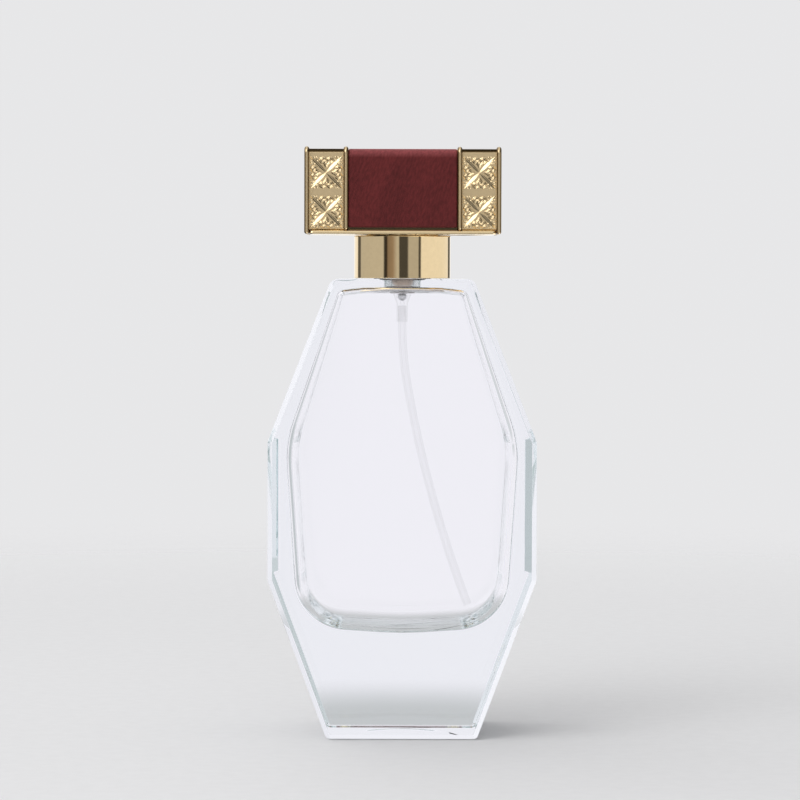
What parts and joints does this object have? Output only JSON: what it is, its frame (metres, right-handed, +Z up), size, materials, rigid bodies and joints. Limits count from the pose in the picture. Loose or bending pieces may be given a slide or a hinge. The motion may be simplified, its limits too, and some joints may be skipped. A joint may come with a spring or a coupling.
{
  "type": "perfume bottle",
  "caption": "Flat octagonal clear glass spray bottle with a gold collar, a crimped pump with dip tube, and a bar-shaped cap of burgundy leather between ornamented gold end blocks.",
  "frame": {"origin": "centre of the flat base", "axes": "+Z up along the neck, +X to the right seen from the front, front face towards -Y"},
  "size_m": [0.066, 0.036, 0.1454],
  "materials": {
    "clear_glass": "polished clear flint glass",
    "gold_aluminium": "polished and anodised pale gold",
    "gold_casting": "polished pale gold plating on a casting",
    "burgundy_leather": "fine-grained, semi-matte",
    "clear_plastic": "translucent natural polymer",
    "white_plastic": "moulded",
    "black_plastic": "moulded",
    "dark_rubber": "moulded",
    "bare_aluminium": "drawn sheet",
    "spring_steel": "bright stainless"
  },
  "bodies": {
    "bottle": {"glass_bottle": "clear_glass", "neck_gasket": "white_plastic", "pump_housing": "clear_plastic", "dip_tube": "clear_plastic", "stem_seal": "dark_rubber", "housing_closure": "white_plastic", "crimp_ferrule": "bare_aluminium", "collar_insert": "white_plastic", "collar": "gold_aluminium", "return_spring": "spring_steel"},
    "ball": {"inlet_ball": "spring_steel"},
    "stem": {"valve_stem": "white_plastic", "piston": "white_plastic"},
    "button": {"actuator_core": "white_plastic", "actuator_shell": "gold_aluminium", "nozzle_insert": "white_plastic"},
    "cap": {"cap_liner": "white_plastic", "cap_core": "black_plastic", "cap_base_plate": "gold_casting", "leather_wrap": "burgundy_leather", "left_end_block": "gold_casting", "right_end_block": "gold_casting"}
  },
  "joints": [
    {"name": "cap_lift", "type": "slide", "parent": "bottle", "child": "cap", "axis": [0, 0, 1], "range_m": [0, 0.03]},
    {"name": "button_press", "type": "slide", "parent": "bottle", "child": "stem", "axis": [0, 0, -1], "range_m": [0, 0.004], "stiffness_N_per_m": 1000, "springref_m": -0.003, "deforming": ["return_spring"]},
    {"name": "button_turn", "type": "hinge", "parent": "stem", "child": "button", "pos_m": [0, 0, 0.1292], "axis": [0, 0, 1], "continuous": true},
    {"name": "inlet_ball_lift", "type": "slide", "parent": "bottle", "child": "ball", "axis": [0, 0, 1], "range_m": [0, 0.0007]}
  ]
}
